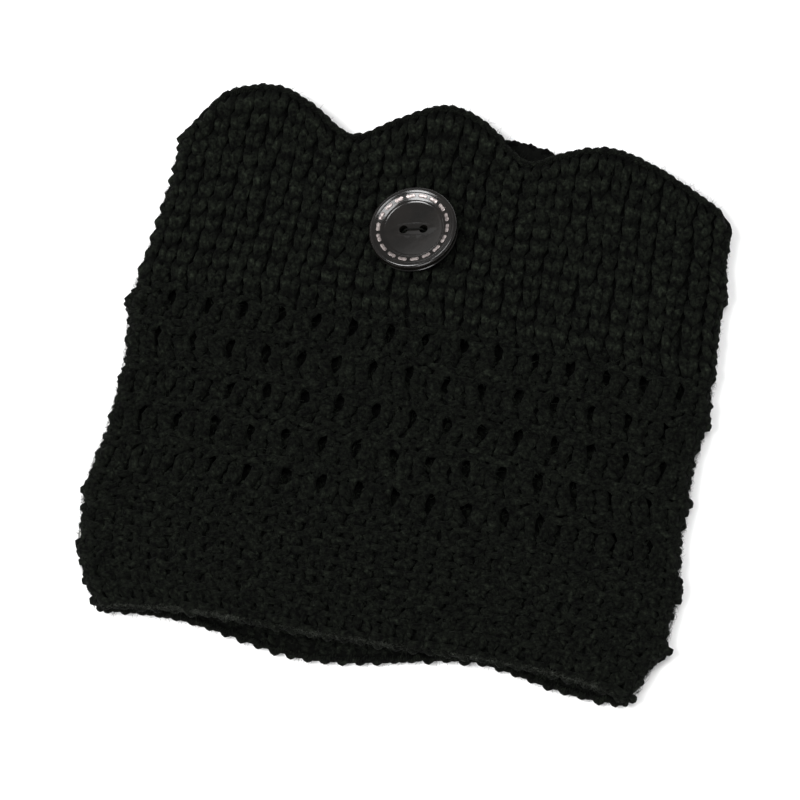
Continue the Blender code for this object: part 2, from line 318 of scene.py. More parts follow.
# %% Stitches and where they stand out
Bump = namedtuple("Bump", "side up reach spread")
FOLD_BUMPS = (
    Bump(-1, -81.0, 1.0, 3.0),
    Bump(-1, -73.0, 1.2, 4.0),
    Bump(-1, -65.0, 2.2, 2.2),
    Bump(-1, -47.0, 1.6, 2.2),
    Bump(-1, -17.0, 0.8, 2.0),
    Bump(-1, 7.5, 2.6, 2.8),
    Bump(-1, 58.0, 0.9, 5.0),
    Bump(1, -78.0, 1.2, 2.5),
    Bump(1, -62.0, 3.3, 2.6),
    Bump(1, -44.0, 2.6, 2.8),
    Bump(1, -19.0, 1.6, 3.0),
    Bump(1, 5.5, 2.0, 2.8),
    Bump(1, 43.0, 1.6, 5.0),
    Bump(1, 64.0, 1.2, 5.0),
    Bump(1, 71.0, 2.2, 3.0),
)
BUMP_PLUMP = 2.0
STITCHES = 2 * EYELET_COLUMNS + 2
KNIT, PURL = 1.0, -1.0
LACE_REPEAT = (PURL, KNIT, KNIT, PURL)
STEP_FADE = 1.2
LACE_ROWS = HEM_COURSES + REPEAT_COURSES * (np.arange(EYELET_ROWS) + 0.5)
print(STITCHES, "stitches across each layer, with the eyelets at courses", LACE_ROWS)


def kind_of(course):
    """Knit or purl, for a course of the tube."""
    if course < HEM_COURSES:
        return KNIT if course % 2 else PURL
    if course < LACE_TOP:
        return LACE_REPEAT[(course - HEM_COURSES) % REPEAT_COURSES]
    return KNIT


def sideways(layer, across, course):
    """How far the stitches are stepped sideways with the eyelets, in columns. It dies out at the folds."""
    middles = np.arange(EYELET_COLUMNS) + 0.5
    steps = []
    for row in range(EYELET_ROWS):
        neutral = place(layer, middles, layer.eyelets[:, row, 1], 0.0)[:, 0]
        pitch = (neutral[-1] - neutral[0]) / (EYELET_COLUMNS - 1)
        steps.append((layer.eyelets[:, row, 0] - neutral).mean() / pitch)
    keys = [HEM_COURSES - 1, *LACE_ROWS, LACE_TOP + 1]
    values = [0.0, *steps, steps[-2]]
    return np.interp(course, keys, values) * np.clip(from_fold(across) / STEP_FADE, 0, 1)


# %% Room for the eyelets
EYELET_HALF_WIDTH = 2.55 * MM
EYELET_HALF_HEIGHT = 3.9 * MM
LEAST_FAR = 0.2
EYELET_PUSH = 0.95
print("yarn keeps off an oval of", 2 * EYELET_HALF_WIDTH / MM, "by", 2 * EYELET_HALF_HEIGHT / MM, "mm")


def round_the_eyelets(layer, across, up):
    """Moves points of yarn out of the eyelets, to their rims. Returns the change in x and in y, in metres."""
    shift_x = np.zeros_like(up)
    shift_y = np.zeros_like(up)
    here = place(layer, across, up, 0.0)
    for x, y in layer.eyelets.reshape(-1, 2):
        far_x = (here[:, 0] - x) / EYELET_HALF_WIDTH
        far_y = (here[:, 1] - y) / EYELET_HALF_HEIGHT
        far = np.hypot(far_x, far_y)
        inside = far < 1
        push = (1 / np.maximum(far[inside], LEAST_FAR) - 1) * EYELET_PUSH
        shift_x[inside] += far_x[inside] * push * EYELET_HALF_WIDTH
        shift_y[inside] += far_y[inside] * push * EYELET_HALF_HEIGHT
    return shift_x, shift_y


# %% The shape of a loop
LOOP_POINTS = 12
LOOP_PARTS = (0, 1 / 6, 1 / 4, 1 / 3, 1 / 2)
LOOP_DEPTH = 1.2 * MM
LOOP_WAIST = 0.215
LOOP_DRAW = 0.06
LOOP_EASE = 0.2
LEG_PLUMP = 0.26
LEG_CREST = 1.35
LEG_BALANCE = 0.4
HEM_REACH = 0.92
TOP_REACH = 0.86
PAIR_PULL = 0.01
STEPS = np.arange(STITCHES * LOOP_POINTS + 1)
TURN = STEPS % LOOP_POINTS / LOOP_POINTS
print("a course is a line of", len(STEPS), "points on each layer")


def loops_of(course):
    """A course's loops: across in wales, up in courses, depth as a share, and how plump the yarn is."""
    here, above = kind_of(course), kind_of(course + 1)
    middle = (here + above) / 2 * LEG_CREST
    keys = [-here, LOOP_EASE * here, middle, LOOP_EASE * above, -above]
    depth = np.interp(np.minimum(TURN, 1 - TURN), LOOP_PARTS, keys)
    waist = LOOP_WAIST * np.sin(2 * math.tau * TURN) + LOOP_DRAW * np.sin(math.tau * TURN)
    wale = STEPS / LOOP_POINTS - 1 + waist
    reach = TOP_REACH if course >= LACE_TOP else HEM_REACH
    address = course + 0.5 - reach * np.cos(math.tau * TURN)
    plump = LEG_PLUMP * (LEG_BALANCE - np.cos(2 * math.tau * TURN)) * (here + above > 0)
    return wale, address, depth, plump


# %% Courses of loops
FOLD_FLAT = 0.45
FOLD_FILL = 0.8 * MM
FOLD_SOFTEN = 0.8
GROOVE = 0.25 * MM
YARN_RADIUS = 1.08 * MM
YARN_WANDER = 0.5 * MM
DEPTH_WANDER = 0.2
THICK_WANDER = 0.05
YARN_LUMPS = 0.1
LUMP_BLEND = (0.5, 0.7, 0.5)
rng = np.random.default_rng(11)


def course_of_yarn(layer, course):
    """The line that one course's yarn follows along a layer, from fold to fold, and how thick it is."""
    wale, address, depth, plump = loops_of(course)
    in_top = np.clip((course + 0.5 - LACE_TOP) / 2, 0, 1)
    wale = wale - in_top * PAIR_PULL * np.sin(math.pi * wale)
    groove = in_top * GROOVE * (0.5 - 0.5 * np.cos(math.pi * wale)) ** 2
    halves = 2 * STEPS / LOOP_POINTS
    uneven = rng.normal(0, 1, (2 * STITCHES + 2, 4))
    lumps = np.convolve(rng.normal(0, 1, len(STEPS) + 2), LUMP_BLEND, "valid")
    share = (halves % 1)[:, None]
    wander = uneven[halves.astype(int)] * (1 - share) + uneven[halves.astype(int) + 1] * share
    across = wale / 2
    across = across + sideways(layer, across, address)
    on_face = np.clip(from_fold(across), 0, 1)
    up = course_height(layer, across, address)
    folded = 1 - np.clip(from_fold(across) / FOLD_SOFTEN, 0, 1)
    out = depth * (1 + DEPTH_WANDER * wander[:, 3]) * LOOP_DEPTH * (1 - FOLD_FLAT * folded)
    out += FOLD_FILL * folded - groove * on_face
    shift_x, shift_y = round_the_eyelets(layer, across, up)
    points = place(layer, np.clip(across, -FOLD_COLUMNS, LAST_COLUMN), up + shift_y, out)
    points[:, 0] += shift_x + wander[:, 0] * YARN_WANDER * on_face
    for bump in FOLD_BUMPS:
        level = np.exp(-((up / MM - bump.up) / bump.spread) ** 2)
        near = folded ** 2 * level * (bump.side * (across - MIDDLE_COLUMN) > 0)
        points[:, 0] += bump.side * bump.reach * MM * near
        lumps = lumps + BUMP_PLUMP * near
    points[:, 1] += wander[:, 1] * YARN_WANDER * on_face
    thick = 1 + YARN_LUMPS * lumps + THICK_WANDER * wander[:, 2] + plump
    points[:, 2] = np.maximum(points[:, 2], YARN_RADIUS * thick)
    return points, thick


print("yarn radius", YARN_RADIUS / MM, "mm, with", len(FOLD_BUMPS), "thick places at the folds")

# %% [markdown]
# ## Yarn from lines
#
# A curve with a bevel is a tube, which is just what yarn is. The courses of a band are the splines of one
# curve object, and the curve is then turned into a mesh. That keeps the texture coordinates that Blender
# gives a bevelled curve: one runs along the yarn and one round it, and the twist of the plies needs both.

# %% Curves into pieces
def linked(name, data):
    """Makes an object of a mesh, a curve, a lamp or a camera and puts it in the scene."""
    made = bpy.data.objects.new(name, data)
    bpy.context.scene.collection.objects.link(made)
    return made


def mesh_of(name, model):
    """Turns a bmesh into a mesh and lets the bmesh go."""
    mesh = bpy.data.meshes.new(name)
    model.to_mesh(mesh)
    model.free()
    return mesh


def tube_piece(name, lines, radius, sides, material):
    """One mesh of tubes: lines is a list of (points, thickness of each point). sides is 4 or 6."""
    curve = bpy.data.curves.new(name, "CURVE")
    curve.dimensions = "3D"
    curve.bevel_depth = radius
    curve.bevel_resolution = (sides - 4) // 2
    curve.use_fill_caps = True
    for points, thick in lines:
        spline = curve.splines.new("POLY")
        spline.points.add(len(points) - 1)
        spline.points.foreach_set("co", np.column_stack([points, np.ones(len(points))]).ravel())
        spline.points.foreach_set("radius", np.broadcast_to(thick, len(points)).astype(float))
    guide = linked(name + "_guide", curve)
    graph = bpy.context.evaluated_depsgraph_get()
    mesh = bpy.data.meshes.new_from_object(guide.evaluated_get(graph))
    bpy.data.objects.remove(guide, do_unlink=True)
    bpy.data.curves.remove(curve)
    return finished(name, mesh, material)


def finished(name, mesh, material):
    """Makes an object of a mesh whose points are already in place."""
    mesh.name = name
    mesh.materials.clear()
    mesh.materials.append(material)
    mesh.shade_smooth()
    piece = linked(name, mesh)
    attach(piece, "root")
    mesh.calc_loop_triangles()
    print(name, len(mesh.loop_triangles), "triangles")
    return piece


# %% [markdown]
# ## Black wool
#
# Black yarn is never quite black: it is a very dark, slightly green grey with a soft bloom where stray
# fibres catch the light. The plies are a bump that winds round the yarn. A finer, streaky noise stands for
# the fibres, with rare lighter flecks, and sheen gives the bloom. The plain top band's wool carries painted
# shade and painted highlight: each leg of a stitch is darkened towards its ends, where it dips into the cloth,
# and left light along its middle, where it stands out and catches the light.

# %% Helpers for materials
def add_node(tree, kind, **values):
    """A new node with some of its settings changed."""
    node = tree.nodes.new(kind)
    for name, value in values.items():
        setattr(node, name, value)
    return node


def math_node(tree, operation, first, second=None):
    """One sum on two values, each a number or the output of another node."""
    node = add_node(tree, "ShaderNodeMath", operation=operation)
    for socket, value in zip(node.inputs, (first, second)):
        if hasattr(value, "is_linked"):
            tree.links.new(value, socket)
        elif value is not None:
            socket.default_value = value
    return node.outputs[0]


def set_inputs(node, values):
    """Sets constant values on a node's sockets, by their names."""
    for socket, value in values.items():
        node.inputs[socket].default_value = value


def new_material(name):
    """A material with its node tree and its shader."""
    material = bpy.data.materials.new(name)
    material.use_nodes = True
    return material, material.node_tree, material.node_tree.nodes["Principled BSDF"]


def noise(tree, scale, detail, roughness=0.5):
    """A noise over the object's own coordinates."""
    where = add_node(tree, "ShaderNodeTexCoord")
    made = add_node(tree, "ShaderNodeTexNoise")
    set_inputs(made, {"Scale": scale, "Detail": detail, "Roughness": roughness})
    tree.links.new(where.outputs["Object"], made.inputs["Vector"])
    return made.outputs["Fac"]


def ramp(tree, factor, *stops):
    """Colours that blend from stop to stop. Each stop is a place and a colour."""
    made = add_node(tree, "ShaderNodeValToRGB")
    elements = made.color_ramp.elements
    for k, (position, colour) in enumerate(stops):
        stop = elements[k] if k < 2 else elements.new(position)
        stop.position = position
        stop.color = (*colour, 1)
    tree.links.new(factor, made.inputs["Fac"])
    return made.outputs["Color"]


def roughen(tree, shader, height, strength, distance):
    """Gives a shader fine relief. distance is the depth of the relief in metres."""
    bump = add_node(tree, "ShaderNodeBump")
    set_inputs(bump, {"Strength": strength, "Distance": distance})
    tree.links.new(height, bump.inputs["Height"])
    tree.links.new(bump.outputs["Normal"], shader.inputs["Normal"])


# %% The wool
TWISTS_PER_COURSE = 96
PLIES = 3
PLY_DEPTH = 0.35 * MM
FIBRE_DEPTH = 0.15 * MM
FIBRE_SHARE = 0.65
FIBRES_ON_PLIES = 0.8
COMMON_SHADE = 0.6
FLECK_SHADE = 1.9
# CREST_SHARE and CREST_POWER set the painted shade on the top band: how much colour it takes away and how
# narrow the light middle of each leg stays.
CREST_SHARE = 0.95
CREST_POWER = 5.0
LEGS = 2 * STITCHES


def lit_crests(tree, shade, along, crests):
    """Painted shade along the yarn: darkens a colour towards the ends of each leg of a stitch and leaves its
    middle light, a painted highlight.
    """
    wave = math_node(tree, "COSINE", math_node(tree, "MULTIPLY", along, math.tau * crests))
    crest = math_node(tree, "SUBTRACT", 0.5, math_node(tree, "MULTIPLY", wave, 0.5))
    peak = math_node(tree, "MULTIPLY", math_node(tree, "POWER", crest, CREST_POWER), CREST_SHARE)
    lit = math_node(tree, "ADD", 1 - CREST_SHARE, peak)
    shaded = add_node(tree, "ShaderNodeVectorMath", operation="SCALE")
    tree.links.new(shade, shaded.inputs[0])
    tree.links.new(lit, shaded.inputs["Scale"])
    return shaded.outputs[0]


def wool(name, dark, light, plies=0.0, crests=0):
    """Black wool. plies is how deep the twist is cut, in metres. crests is how many legs of stitches the yarn
    has; painted shade darkens each leg towards its ends and leaves a painted highlight along its middle."""
    material, tree, shader = new_material(name)
    cloudy = noise(tree, scale=420.0, detail=3.0)
    fibres = noise(tree, scale=1000.0, detail=3.0, roughness=0.65)
    mixed = math_node(tree, "ADD", math_node(tree, "MULTIPLY", fibres, FIBRE_SHARE),
                      math_node(tree, "MULTIPLY", cloudy, 1 - FIBRE_SHARE))
    common = [COMMON_SHADE * value for value in light]
    flecks = [FLECK_SHADE * value for value in light]
    shade = ramp(tree, mixed, (0.4, dark), (0.56, common), (0.7, flecks))
    height = fibres
    split = add_node(tree, "ShaderNodeSeparateXYZ")
    tree.links.new(add_node(tree, "ShaderNodeTexCoord").outputs["UV"], split.inputs[0])
    if crests:
        shade = lit_crests(tree, shade, split.outputs["X"], crests)
    if plies:
        along = math_node(tree, "MULTIPLY", split.outputs["X"], math.pi * TWISTS_PER_COURSE * PLIES)
        round_it = math_node(tree, "MULTIPLY", split.outputs["Y"], math.pi * PLIES)
        ridge = math_node(tree, "ABSOLUTE", math_node(tree, "SINE", math_node(tree, "ADD", along, round_it)))
        height = math_node(tree, "ADD", ridge, math_node(tree, "MULTIPLY", fibres, FIBRES_ON_PLIES))
    tree.links.new(shade, shader.inputs["Base Color"])
    roughen(tree, shader, height, strength=0.9, distance=plies or FIBRE_DEPTH)
    set_inputs(shader, {
        "Roughness": 0.92,
        "Specular IOR Level": 0.06,
        "Sheen Weight": 0.008,
        "Sheen Roughness": 0.55,
        "Sheen Tint": (0.82, 0.9, 0.8, 1.0),
    })
    return material


wool_yarn = wool("black_wool_yarn", (0.0001, 0.0001, 0.0001), (0.0058, 0.0072, 0.0050), PLY_DEPTH)
# The top band's wool is lighter than the yarn's and darkened by painted shade towards the ends of each leg.
wool_knit_painted_shade = wool("black_wool_knit", (0.0002, 0.0002, 0.0002), (0.0096, 0.0120, 0.0082), PLY_DEPTH, LEGS)
# Darker than the yarn: painted shade for the fibre deep between the loops and inside the tube.
wool_inside_painted_shade = wool("black_wool_inside", (0.0005, 0.0006, 0.0005), (0.0020, 0.0024, 0.0018))
# Lighter than the yarn: painted highlight for loose hairs that catch the light.
wool_fibre_painted_highlight = wool("black_wool_fibre", (0.004, 0.0048, 0.0036), (0.018, 0.0210, 0.0165))
# The palest wool is a painted highlight for the hairs along the front hem.
wool_hem_painted_highlight = wool("black_wool_hem", (0.008, 0.009, 0.007), (0.05, 0.054, 0.046))
# The palest wool is a painted highlight on the hairs along the front hem.
print("five kinds of black wool, the palest for the frayed hem")

# %% Knit the bands
BANDS = (
    ("hem", 0, HEM_COURSES),
    ("lace", HEM_COURSES, LACE_TOP),
    ("top", LACE_TOP, ALL_COURSES),
)


def knitting(layer, part, lines, radius, sides, material):
    """Makes one part of a layer's knitting."""
    piece = tube_piece(layer.name.replace("panel", part), lines, radius, sides, material)
    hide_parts(layer.name)


for layer in (front, back):
    for band, start, stop in BANDS:
        courses = [course_of_yarn(layer, course) for course in range(start, stop)]
        knitting(layer, band + "_yarn", courses, YARN_RADIUS, 6, wool_knit_painted_shade if band == "top" else wool_yarn)

# %% [markdown]
# ## Cast-on and cast-off edges
#
# A knitted edge ends in a chain, where each stitch is drawn over the next. Seen from a step away it is a
# plump cord with a twist, so it is made as one: two strands that wind round each other once a stitch. At
# every stitch the cord bulges outward, at some more than at others, which makes the edge a little knobbly.

# %% Edge chains
CHAIN_POINTS = 8
CHAIN_RADIUS = 0.78 * MM
CHAIN_SPREAD = 0.5 * MM
CHAIN_INSET = 0.6 * MM
HEM_BULGE = 0.45 * MM
TOP_BULGE = 0.12 * MM
LEAST_BULGE = 0.1
MOST_BULGE = 1.4
STRAND_SWELL = 0.12
STRAND_WAVE = 2.3


def edge_chain(layer, line, inward, bulge):
    """Two strands along the hem (inward 1) or the top edge (inward -1) of a layer."""
    wales = np.linspace(-1, STITCHES - 1, STITCHES * CHAIN_POINTS + 1)
    across = wales / 2
    edge = np.interp(across, ACROSS, layer.lines[line]) + inward * CHAIN_INSET
    uneven = rng.uniform(LEAST_BULGE, MOST_BULGE, STITCHES + 1)
    uneven = np.interp(wales, np.arange(-1, STITCHES), uneven)
    strands = []
    for start in (0.0, math.pi):
        turn = math.tau * wales + start
        up = edge + CHAIN_SPREAD * np.cos(turn) - inward * bulge * uneven * np.cos(math.tau * wales)
        out = CHAIN_SPREAD * np.sin(turn)
        thick = 1 + STRAND_SWELL * uneven * np.sin(wales * STRAND_WAVE + start)
        strands.append((place(layer, across, up, out), thick))
    return strands


for layer in (front, back):
    for line, inward, bulge in (("top", -1, TOP_BULGE), ("hem", 1, HEM_BULGE)):
        strands = edge_chain(layer, line, inward, bulge)
        knitting(layer, line + "_chain", strands, CHAIN_RADIUS, 6, wool_yarn)

# %% [markdown]
# ## The cloth behind the loops
#
# Between the loops of a thick yarn the eye meets more fibre, not light. A thin shell along the middle
# of the cloth stands for it. Its wool is darker than the yarn's: painted shade for the fibre deep between
# the loops and for the inside of the tube seen through the eyelets.

# %% Cells of the shell
SHELL_ROWS = ((4, 0, HEM_COURSES), (EYELET_ROWS, HEM_COURSES, LACE_TOP), (8, LACE_TOP, ALL_COURSES))
FIRST_LACE = SHELL_ROWS[0][0]
HEM_SHELL_REACH = 0.68
TOP_SHELL_REACH = 0.42
EDGE_CUTS = 3
FOLD_CELLS = 3
SIDE_CELLS = EYELET_COLUMNS + 2 * FOLD_CELLS
HOLE_INSET = 0.2


def shell_places():
    """Where the shell's lines of cells lie: across in columns, for one layer, and up in courses."""
    fold = np.linspace(0, FOLD_COLUMNS, FOLD_CELLS + 1)
    columns = [*(fold[:-1] - FOLD_COLUMNS), *range(EYELET_COLUMNS + 1), *(EYELET_COLUMNS + fold[1:])]
    rows = [0.0]
    for count, start, stop in SHELL_ROWS:
        rows.extend(np.linspace(start, stop, count + 1)[1:])
    rows[0] -= HEM_SHELL_REACH
    rows[-1] += TOP_SHELL_REACH
    return np.array(columns), np.array(rows)


def flat_cells(cells_up):
    """The shell spread out flat, one unit a cell: the front from left to right, then the back."""
    sheet = bmesh.new()
    bmesh.ops.create_grid(sheet, x_segments=2 * SIDE_CELLS, y_segments=cells_up, size=0.5)
    to_cells = Matrix.Diagonal((2 * SIDE_CELLS, cells_up, 1, 1)) @ Matrix.Translation((0.5, 0.5, 0))
    bmesh.ops.transform(sheet, matrix=to_cells, verts=sheet.verts)
    level = [edge for edge in sheet.edges if abs(edge.verts[0].co.x - edge.verts[1].co.x) > 0.5]
    rim = [edge for edge in level if edge.is_boundary]
    bmesh.ops.subdivide_edges(sheet, edges=rim, cuts=EDGE_CUTS)
    return sheet


def open_hole(sheet, cell):
    """Sets a face in, splits its edges and leaves its points to be put on an oval."""
    bmesh.ops.inset_individual(sheet, faces=[cell], thickness=HOLE_INSET)
    for edge in list(cell.edges):
        bmesh.utils.edge_split(edge, edge.verts[0], 0.5)
    return list(cell.verts)


def open_eyelets(sheet):
    """Opens the cells that have an eyelet. Returns each rim point's layer, eyelet and angle."""
    holes = {}
    for cell in list(sheet.faces):
        middle = cell.calc_center_bounds()
        column = int(middle.x) % SIDE_CELLS - FOLD_CELLS
        row = int(middle.y) - FIRST_LACE
        if 0 <= column < EYELET_COLUMNS and 0 <= row < EYELET_ROWS:
            holes[cell] = (middle.copy(), front if middle.x < SIDE_CELLS else back, column, row)
    rims = {}
    for cell, (middle, layer, column, row) in holes.items():
        eyelet = layer.eyelets[column if layer is front else EYELET_COLUMNS - 1 - column, row]
        for corner in open_hole(sheet, cell):
            rims[corner] = (layer, eyelet, math.atan2(corner.co.y - middle.y, corner.co.x - middle.x))
    bmesh.ops.delete(sheet, geom=list(holes), context="FACES")
    return rims


shell_columns, shell_rows = shell_places()
print("the shell is", 2 * SIDE_CELLS, "cells round and", len(shell_rows) - 1, "tall")

# %% The inner shell
SHELL_THICKNESS = 1.0 * MM
SHELL_DEPTH = -0.6 * MM
HEM_SHELL_DEPTH = 0.7 * MM
HOLE_HALF_WIDTH = 2.3 * MM
HOLE_HALF_HEIGHT = 3.7 * MM
SHELL_MERGE = 0.01 * MM


def on_rim(layer, eyelet, angle, across):
    """A point on the oval rim of an eyelet."""
    mirrored = math.cos(angle) if layer is front else -math.cos(angle)
    x = eyelet[0] + HOLE_HALF_WIDTH * mirrored
    up = eyelet[1] + HOLE_HALF_HEIGHT * math.sin(angle)
    return x, up, place(layer, across, up, SHELL_DEPTH)[2]


def inner_shell():
    sheet = flat_cells(len(shell_rows) - 1)
    rims = open_eyelets(sheet)
    for corner in sheet.verts:
        on_front = corner.co.x <= SIDE_CELLS
        layer = front if on_front else back
        step = corner.co.x if on_front else 2 * SIDE_CELLS - corner.co.x
        across = np.interp(step, np.arange(len(shell_columns)), shell_columns)
        course = np.interp(corner.co.y, np.arange(len(shell_rows)), shell_rows)
        if corner in rims:
            corner.co = on_rim(*rims[corner], across)
        else:
            out = HEM_SHELL_DEPTH if layer is back and course < HEM_COURSES / 2 else SHELL_DEPTH
            corner.co = place(layer, across, course_height(layer, across, course), out)
    bmesh.ops.remove_doubles(sheet, verts=sheet.verts, dist=SHELL_MERGE)
    bmesh.ops.recalc_face_normals(sheet, faces=sheet.faces)
    bmesh.ops.solidify(sheet, geom=sheet.faces[:], thickness=SHELL_THICKNESS)
    return finished("knitted_tube", mesh_of("knitted_tube", sheet), wool_inside_painted_shade)


tube = inner_shell()
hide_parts("front_panel", "back_panel")

# %% [markdown]
# ## Loose fibres
#
# What makes wool look like wool is its halo: short loose fibres that stand off the yarn and soften every
# edge. Each one is a thin bent hair that starts on the knitting and leans away from it. They are scattered
# by a seeded draw, thickest at the folds and the edges, where the light shines through them. Their wool is
# lighter than the yarn's, a painted highlight for hairs that catch the light. Finer hairs lie along the front
# hem in little clumps, paler still: a painted highlight where the hem's edge catches the light.

# %% Scatter the fibres
FIBRE_RADIUS = 0.035 * MM
FIBRE_LENGTH = 1.5 * MM
FIBRE_SHORTEST, FIBRE_LONGEST = 0.5, 1.6
FIBRE_LOWEST, FIBRE_HIGHEST = 0.25, 1.0
FIBRE_BEND = 0.35
FIBRE_RISE = 1.1
FIBRE_DROOP = 0.4
FIBRE_PARTS = (0.0, 0.5, 1.0)
FIBRE_TAPER = np.array([1.0, 0.8, 0.4])
COLUMN_WIDTH = 10 * MM
FIBRES_ON_FACE = 6000
FIBRES_ON_EDGE = 700
FACE_FLATNESS = 0.2
FOLD_FLATNESS = 0.0
EDGE_FLATNESS = 0.7
EDGE_INSET = 0.3
EDGE_BACK, EDGE_FRONT = -1.0, 1.5
FIBRE_ROOTS = 0.6
FOLD_STRIP = 0.22


def fibres(layer, across, up, out, flatness, reach=FIBRE_LENGTH):
    """Short bent hairs that start at the given places of a layer. At flatness 1 they lie along it."""
    count = len(across)
    length = reach * rng.uniform(FIBRE_SHORTEST, FIBRE_LONGEST, count)
    heading = rng.uniform(0, math.tau, count)
    lift = rng.uniform(FIBRE_LOWEST, FIBRE_HIGHEST, count) * (1 - flatness)
    bend = rng.normal(0, FIBRE_BEND, (count, 2))
    lines = []
    for part in FIBRE_PARTS:
        run = length * part * (1 - lift / 2)
        slide_x = run * np.cos(heading) + bend[:, 0] * length * part ** 2
        slide_y = run * np.sin(heading) + bend[:, 1] * length * part ** 2
        rise = length * lift * part * (FIBRE_RISE - FIBRE_DROOP * part)
        places = np.clip(across + slide_x / COLUMN_WIDTH, -FOLD_COLUMNS, LAST_COLUMN)
        lines.append(place(layer, places, up + slide_y, out + rise))
    stacked = np.stack(lines, axis=1)
    stacked[..., 2] = np.maximum(stacked[..., 2], FIBRE_RADIUS)
    return [(points, FIBRE_TAPER) for points in stacked]


def fibres_of(layer):
    """The hairs on a layer's face, at its two folds and along its two edges."""
    outside = LOOP_DEPTH + FIBRE_ROOTS * YARN_RADIUS

    def anywhere_up(across, flatness):
        course = rng.uniform(0, ALL_COURSES, len(across))
        return fibres(layer, across, course_height(layer, across, course), outside, flatness)

    lines = anywhere_up(rng.uniform(-FOLD_COLUMNS, LAST_COLUMN, FIBRES_ON_FACE), FACE_FLATNESS)
    for fold in (-FOLD_COLUMNS, LAST_COLUMN):
        inward = rng.uniform(0, 1, FIBRES_ON_EDGE) ** 2
        lines += anywhere_up(fold - math.copysign(FOLD_STRIP, fold) * inward, FOLD_FLATNESS)
    for line, inward in (("hem", 1), ("top", -1)):
        across = rng.uniform(0, EYELET_COLUMNS, FIBRES_ON_EDGE)
        up = np.interp(across, ACROSS, layer.lines[line]) + inward * EDGE_INSET * MM
        out = rng.uniform(EDGE_BACK, EDGE_FRONT, FIBRES_ON_EDGE) * MM
        lines += fibres(layer, across, up, out, EDGE_FLATNESS)
    return lines


# The hairs' lighter wool is a painted highlight.
for layer in (front, back):
    knitting(layer, "fibres", fibres_of(layer), FIBRE_RADIUS, 4, wool_fibre_painted_highlight)

# %% Painted highlight along the front hem
BLOOM_FIBRES = 2000
BLOOM_CLUMPS = 50
BLOOM_LENGTH = 0.8 * MM
BLOOM_START = -0.3
BLOOM_END = EYELET_COLUMNS - 0.2
BLOOM_SPREAD = 0.3
BLOOM_UP = 0.35
BLOOM_SCATTER = 0.2
BLOOM_OUT = CHAIN_SPREAD + 0.8 * CHAIN_RADIUS
BLOOM_DEPTH = 0.15 * MM
BLOOM_FLATNESS = 0.8


def hem_bloom():
    """Fine hairs in a line along the front hem, coloured pale as a painted highlight where the edge catches
    the light.
    """
    clumps = rng.uniform(BLOOM_START, BLOOM_END, BLOOM_CLUMPS)
    across = rng.choice(clumps, BLOOM_FIBRES) + rng.normal(0, BLOOM_SPREAD, BLOOM_FIBRES)
    up = np.interp(across, ACROSS, front.lines["hem"])
    up = up + rng.normal(BLOOM_UP, BLOOM_SCATTER, BLOOM_FIBRES) * MM
    out = rng.normal(BLOOM_OUT, BLOOM_DEPTH, BLOOM_FIBRES)
    return fibres(front, across, up, out, BLOOM_FLATNESS, BLOOM_LENGTH)


knitting(front, "hem_bloom", hem_bloom(), FIBRE_RADIUS, 4, wool_hem_painted_highlight)

# %% [markdown]
# ## One sheet of cloth
#

# %% Where the sheet's two folds lie
fold_left, fold_right = (place(front, end, 0.0, 0.0)[0] for end in (-FOLD_COLUMNS, LAST_COLUMN))

# %% [markdown]
# ## The button
#
# It is moulded from glossy black resin: a rounded rim, a narrow ring set with pale metal dashes, and a dish
# with an almond hollow round its two holes. The frame's button has that form in forty facets. Here the same
# outline is a smooth curve turned in many more steps, put in the very place and tilt of the frame's button,
# which are read from its flat underside.

# %% Where the button is
UNDERSIDE = -0.95


def button_place():
    """The middle of the button's underside and the way its face points, read from the frame."""
    model = bmesh.new()
    model.from_mesh(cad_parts["button"].data)
    middle = Vector()
    facing = Vector()
    area = 0.0
    for face in model.faces:
        middle += face.calc_center_median() * face.calc_area()
        area += face.calc_area()
        if face.normal.z < UNDERSIDE:
            facing -= face.normal * face.calc_area()
    middle /= area
    facing.normalize()
    lowest = min((corner.co - middle).dot(facing) for corner in model.verts)
    model.free()
    return middle + facing * lowest, facing


button_seat, button_facing = button_place()
lean = math.degrees(button_facing.angle(Vector((0, 0, 1))))
print("button seat", [round(value / MM, 2) for value in button_seat], "lean", round(lean, 1))

# %% Turn the button
# Pairs of radius and height in millimetres: out along the underside, up the rim and in over the dish.
BUTTON_OUTLINE = (
    (0.0, 0.0), (11.3, 0.0), (12.2, 0.5), (12.6, 1.2), (12.7, 2.1),
    (12.55, 2.75), (12.2, 3.12), (11.8, 3.22), (11.3, 3.12), (11.0, 2.98),
    (10.75, 2.96), (10.4, 2.85), (9.8, 2.66), (9.2, 2.48), (8.8, 2.3),
    (8.5, 2.1), (8.1, 1.98), (7.2, 1.91), (4.6, 1.8), (0.0, 1.7),
)
CURVE_PARTS = 4
BUTTON_STEPS = 96
BUTTON_MERGE = 0.01


def smooth_outline(turns):
    """More points between those of an outline, on a curve that passes through all of them."""
    points = np.array(turns)
    before = np.vstack([points[0], points[:-1]])
    after = np.vstack([points[1:], points[-1]])
    slopes = (after - before) / 2
    smooth = []
    for k in range(len(points) - 1):
        for part in np.arange(CURVE_PARTS) / CURVE_PARTS:
            ease = part * part * (3 - 2 * part)
            start = slopes[k] * part * (1 - part) ** 2
            end = slopes[k + 1] * part * part * (part - 1)
            smooth.append(points[k] + (points[k + 1] - points[k]) * ease + start + end)
    smooth.append(points[-1])
    smooth = np.array(smooth)
    smooth[:, 0] = np.maximum(smooth[:, 0], 0)
    return smooth


